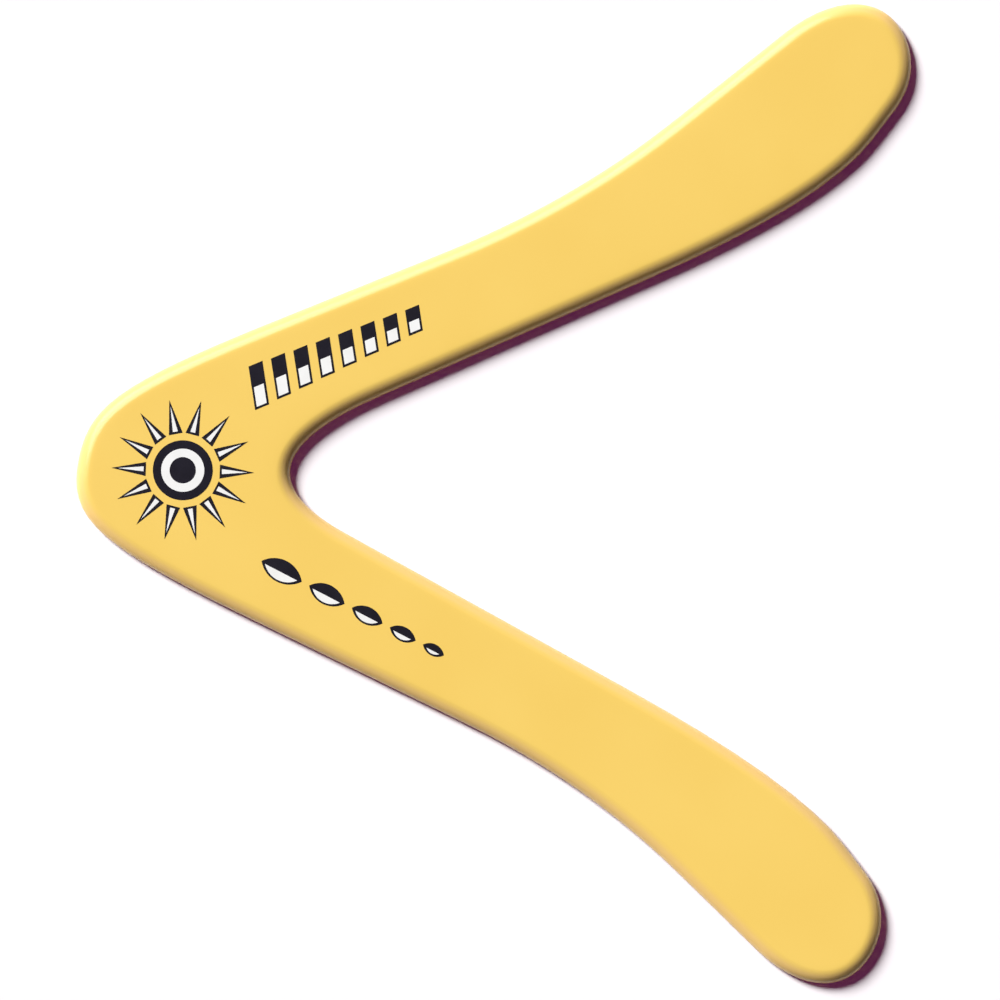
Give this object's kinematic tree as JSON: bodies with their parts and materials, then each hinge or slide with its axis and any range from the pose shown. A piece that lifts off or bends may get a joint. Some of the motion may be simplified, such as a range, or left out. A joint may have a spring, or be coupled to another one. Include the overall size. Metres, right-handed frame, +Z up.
{
  "type": "boomerang",
  "caption": "Two-armed returning boomerang of cross-laid plywood, flat below and rounded above, enamelled on top and printed with a sun, bars and leaves.",
  "frame": {"origin": "middle of the blade's outline, on the flat underside that it rests on", "axes": "+X from the elbow towards the tips, +Y along the tip-to-tip span towards the lift arm, +Z up out of the rounded top"},
  "size_m": [0.294, 0.3514, 0.0052],
  "materials": {
    "birch_long": "birch veneer, grain along the arms, clear lacquered where bare",
    "birch_cross": "birch veneer, grain across the arms, end grain at the edge",
    "glue_film": "cured phenolic film glue, dark brown",
    "yellow_enamel": "gloss sprayed enamel, warm yellow",
    "black_ink": "screen-printed ink, semi-gloss black",
    "white_ink": "screen-printed ink, semi-gloss white"
  },
  "bodies": {
    "root": {"ply_01_back": "birch_long", "ply_02_cross": "birch_cross", "ply_03_long": "birch_long", "ply_04_cross": "birch_cross", "ply_05_long": "birch_long", "ply_06_long": "birch_long", "ply_07_cross": "birch_cross", "ply_08_long": "birch_long", "ply_09_cross": "birch_cross", "ply_10_face": "birch_long", "glue_01": "glue_film", "glue_02": "glue_film", "glue_03": "glue_film", "glue_04": "glue_film", "glue_05": "glue_film", "glue_06": "glue_film", "glue_07": "glue_film", "glue_08": "glue_film", "glue_09": "glue_film", "top_enamel": "yellow_enamel", "print_black": "black_ink", "print_white": "white_ink"}
  },
  "joints": []
}
